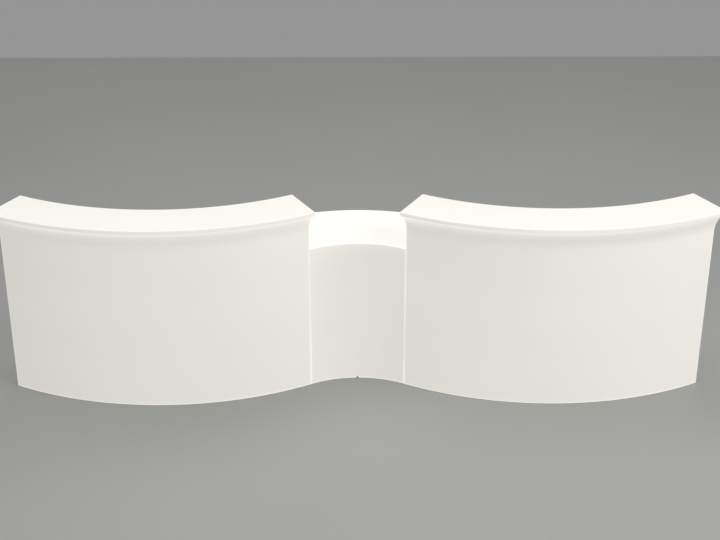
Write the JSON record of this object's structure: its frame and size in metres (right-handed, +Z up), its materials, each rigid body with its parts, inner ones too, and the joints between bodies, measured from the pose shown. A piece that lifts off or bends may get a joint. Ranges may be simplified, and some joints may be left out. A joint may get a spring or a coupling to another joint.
{
  "type": "illuminated bar counter",
  "caption": "Wave-shaped illuminated bar counter: two tall curved modules with a flared lip either side of a lower middle module, with shelves behind.",
  "frame": {"origin": "on the floor under the middle of the counter's overall length and depth", "axes": "+X along the counter to the viewer's right, +Y to the server's side at the back, +Z up"},
  "size_m": [3.9012, 0.8009, 1.1],
  "materials": {
    "opal_shell": "satin",
    "white_board": "satin",
    "white_panel": "matte",
    "worktop_laminate": "satin",
    "aluminium": "satin",
    "led_board": "matte",
    "opal_cover": "satin",
    "cable_jacket": "matte",
    "black_rubber": "matte",
    "black_plastic": "satin",
    "grey_plastic": "satin",
    "zinc_steel": "satin"
  },
  "bodies": {
    "counter": {"left_fascia": "opal_shell", "middle_fascia": "opal_shell", "right_fascia": "opal_shell", "left_base": "white_board", "middle_base": "white_board", "right_base": "white_board", "left_reflector": "white_panel", "middle_reflector": "white_panel", "right_reflector": "white_panel", "middle_light_tray": "white_panel", "left_worktop": "worktop_laminate", "right_worktop": "worktop_laminate", "left_end_cheek": "white_board", "left_joint_cheek": "white_board", "middle_left_cheek": "white_board", "middle_right_cheek": "white_board", "right_joint_cheek": "white_board", "right_end_cheek": "white_board", "left_shelf": "white_board", "middle_shelf": "white_board", "right_shelf": "white_board", "left_shelf_batten": "white_board", "middle_shelf_batten": "white_board", "right_shelf_batten": "white_board", "shelf_pegs": "zinc_steel", "left_led_channels": "aluminium", "middle_led_channels": "aluminium", "right_led_channels": "aluminium", "led_strips": "led_board", "led_covers": "opal_cover", "led_leads": "cable_jacket", "left_driver": "aluminium", "middle_driver": "aluminium", "right_driver": "aluminium", "mains_cables": "cable_jacket", "cable_saddles": "white_panel", "grommets": "black_rubber", "mains_inlet": "black_plastic", "foot_sleeves": "zinc_steel", "joining_bolts": "zinc_steel", "joining_nuts": "zinc_steel", "joining_washers": "zinc_steel", "panel_screws": "zinc_steel", "cheek_screws": "zinc_steel"},
    "rocker": {"switch_rocker": "grey_plastic"},
    "left_foot_front_end": {"left_foot_front_end": "grey_plastic"},
    "left_foot_front_joint": {"left_foot_front_joint": "grey_plastic"},
    "left_foot_rear_end": {"left_foot_rear_end": "grey_plastic"},
    "left_foot_rear_joint": {"left_foot_rear_joint": "grey_plastic"},
    "middle_foot_front_left": {"middle_foot_front_left": "grey_plastic"},
    "middle_foot_front_right": {"middle_foot_front_right": "grey_plastic"},
    "middle_foot_rear_left": {"middle_foot_rear_left": "grey_plastic"},
    "middle_foot_rear_right": {"middle_foot_rear_right": "grey_plastic"},
    "right_foot_front_end": {"right_foot_front_end": "grey_plastic"},
    "right_foot_front_joint": {"right_foot_front_joint": "grey_plastic"},
    "right_foot_rear_end": {"right_foot_rear_end": "grey_plastic"},
    "right_foot_rear_joint": {"right_foot_rear_joint": "grey_plastic"}
  },
  "joints": [
    {"name": "switch_rocker_tilt", "type": "hinge", "parent": "counter", "child": "rocker", "pos_m": [-1.10672, -0.12957, 0.056], "axis": [1, 0, 0], "range_deg": [0, 18]},
    {"name": "left_foot_front_end_screw_out", "type": "slide", "parent": "counter", "child": "left_foot_front_end", "axis": [0, 0, -1], "range_m": [0, 0.015]},
    {"name": "left_foot_front_joint_screw_out", "type": "slide", "parent": "counter", "child": "left_foot_front_joint", "axis": [0, 0, -1], "range_m": [0, 0.015]},
    {"name": "left_foot_rear_end_screw_out", "type": "slide", "parent": "counter", "child": "left_foot_rear_end", "axis": [0, 0, -1], "range_m": [0, 0.015]},
    {"name": "left_foot_rear_joint_screw_out", "type": "slide", "parent": "counter", "child": "left_foot_rear_joint", "axis": [0, 0, -1], "range_m": [0, 0.015]},
    {"name": "middle_foot_front_left_screw_out", "type": "slide", "parent": "counter", "child": "middle_foot_front_left", "axis": [0, 0, -1], "range_m": [0, 0.015]},
    {"name": "middle_foot_front_right_screw_out", "type": "slide", "parent": "counter", "child": "middle_foot_front_right", "axis": [0, 0, -1], "range_m": [0, 0.015]},
    {"name": "middle_foot_rear_left_screw_out", "type": "slide", "parent": "counter", "child": "middle_foot_rear_left", "axis": [0, 0, -1], "range_m": [0, 0.015]},
    {"name": "middle_foot_rear_right_screw_out", "type": "slide", "parent": "counter", "child": "middle_foot_rear_right", "axis": [0, 0, -1], "range_m": [0, 0.015]},
    {"name": "right_foot_front_end_screw_out", "type": "slide", "parent": "counter", "child": "right_foot_front_end", "axis": [0, 0, -1], "range_m": [0, 0.015]},
    {"name": "right_foot_front_joint_screw_out", "type": "slide", "parent": "counter", "child": "right_foot_front_joint", "axis": [0, 0, -1], "range_m": [0, 0.015]},
    {"name": "right_foot_rear_end_screw_out", "type": "slide", "parent": "counter", "child": "right_foot_rear_end", "axis": [0, 0, -1], "range_m": [0, 0.015]},
    {"name": "right_foot_rear_joint_screw_out", "type": "slide", "parent": "counter", "child": "right_foot_rear_joint", "axis": [0, 0, -1], "range_m": [0, 0.015]}
  ]
}
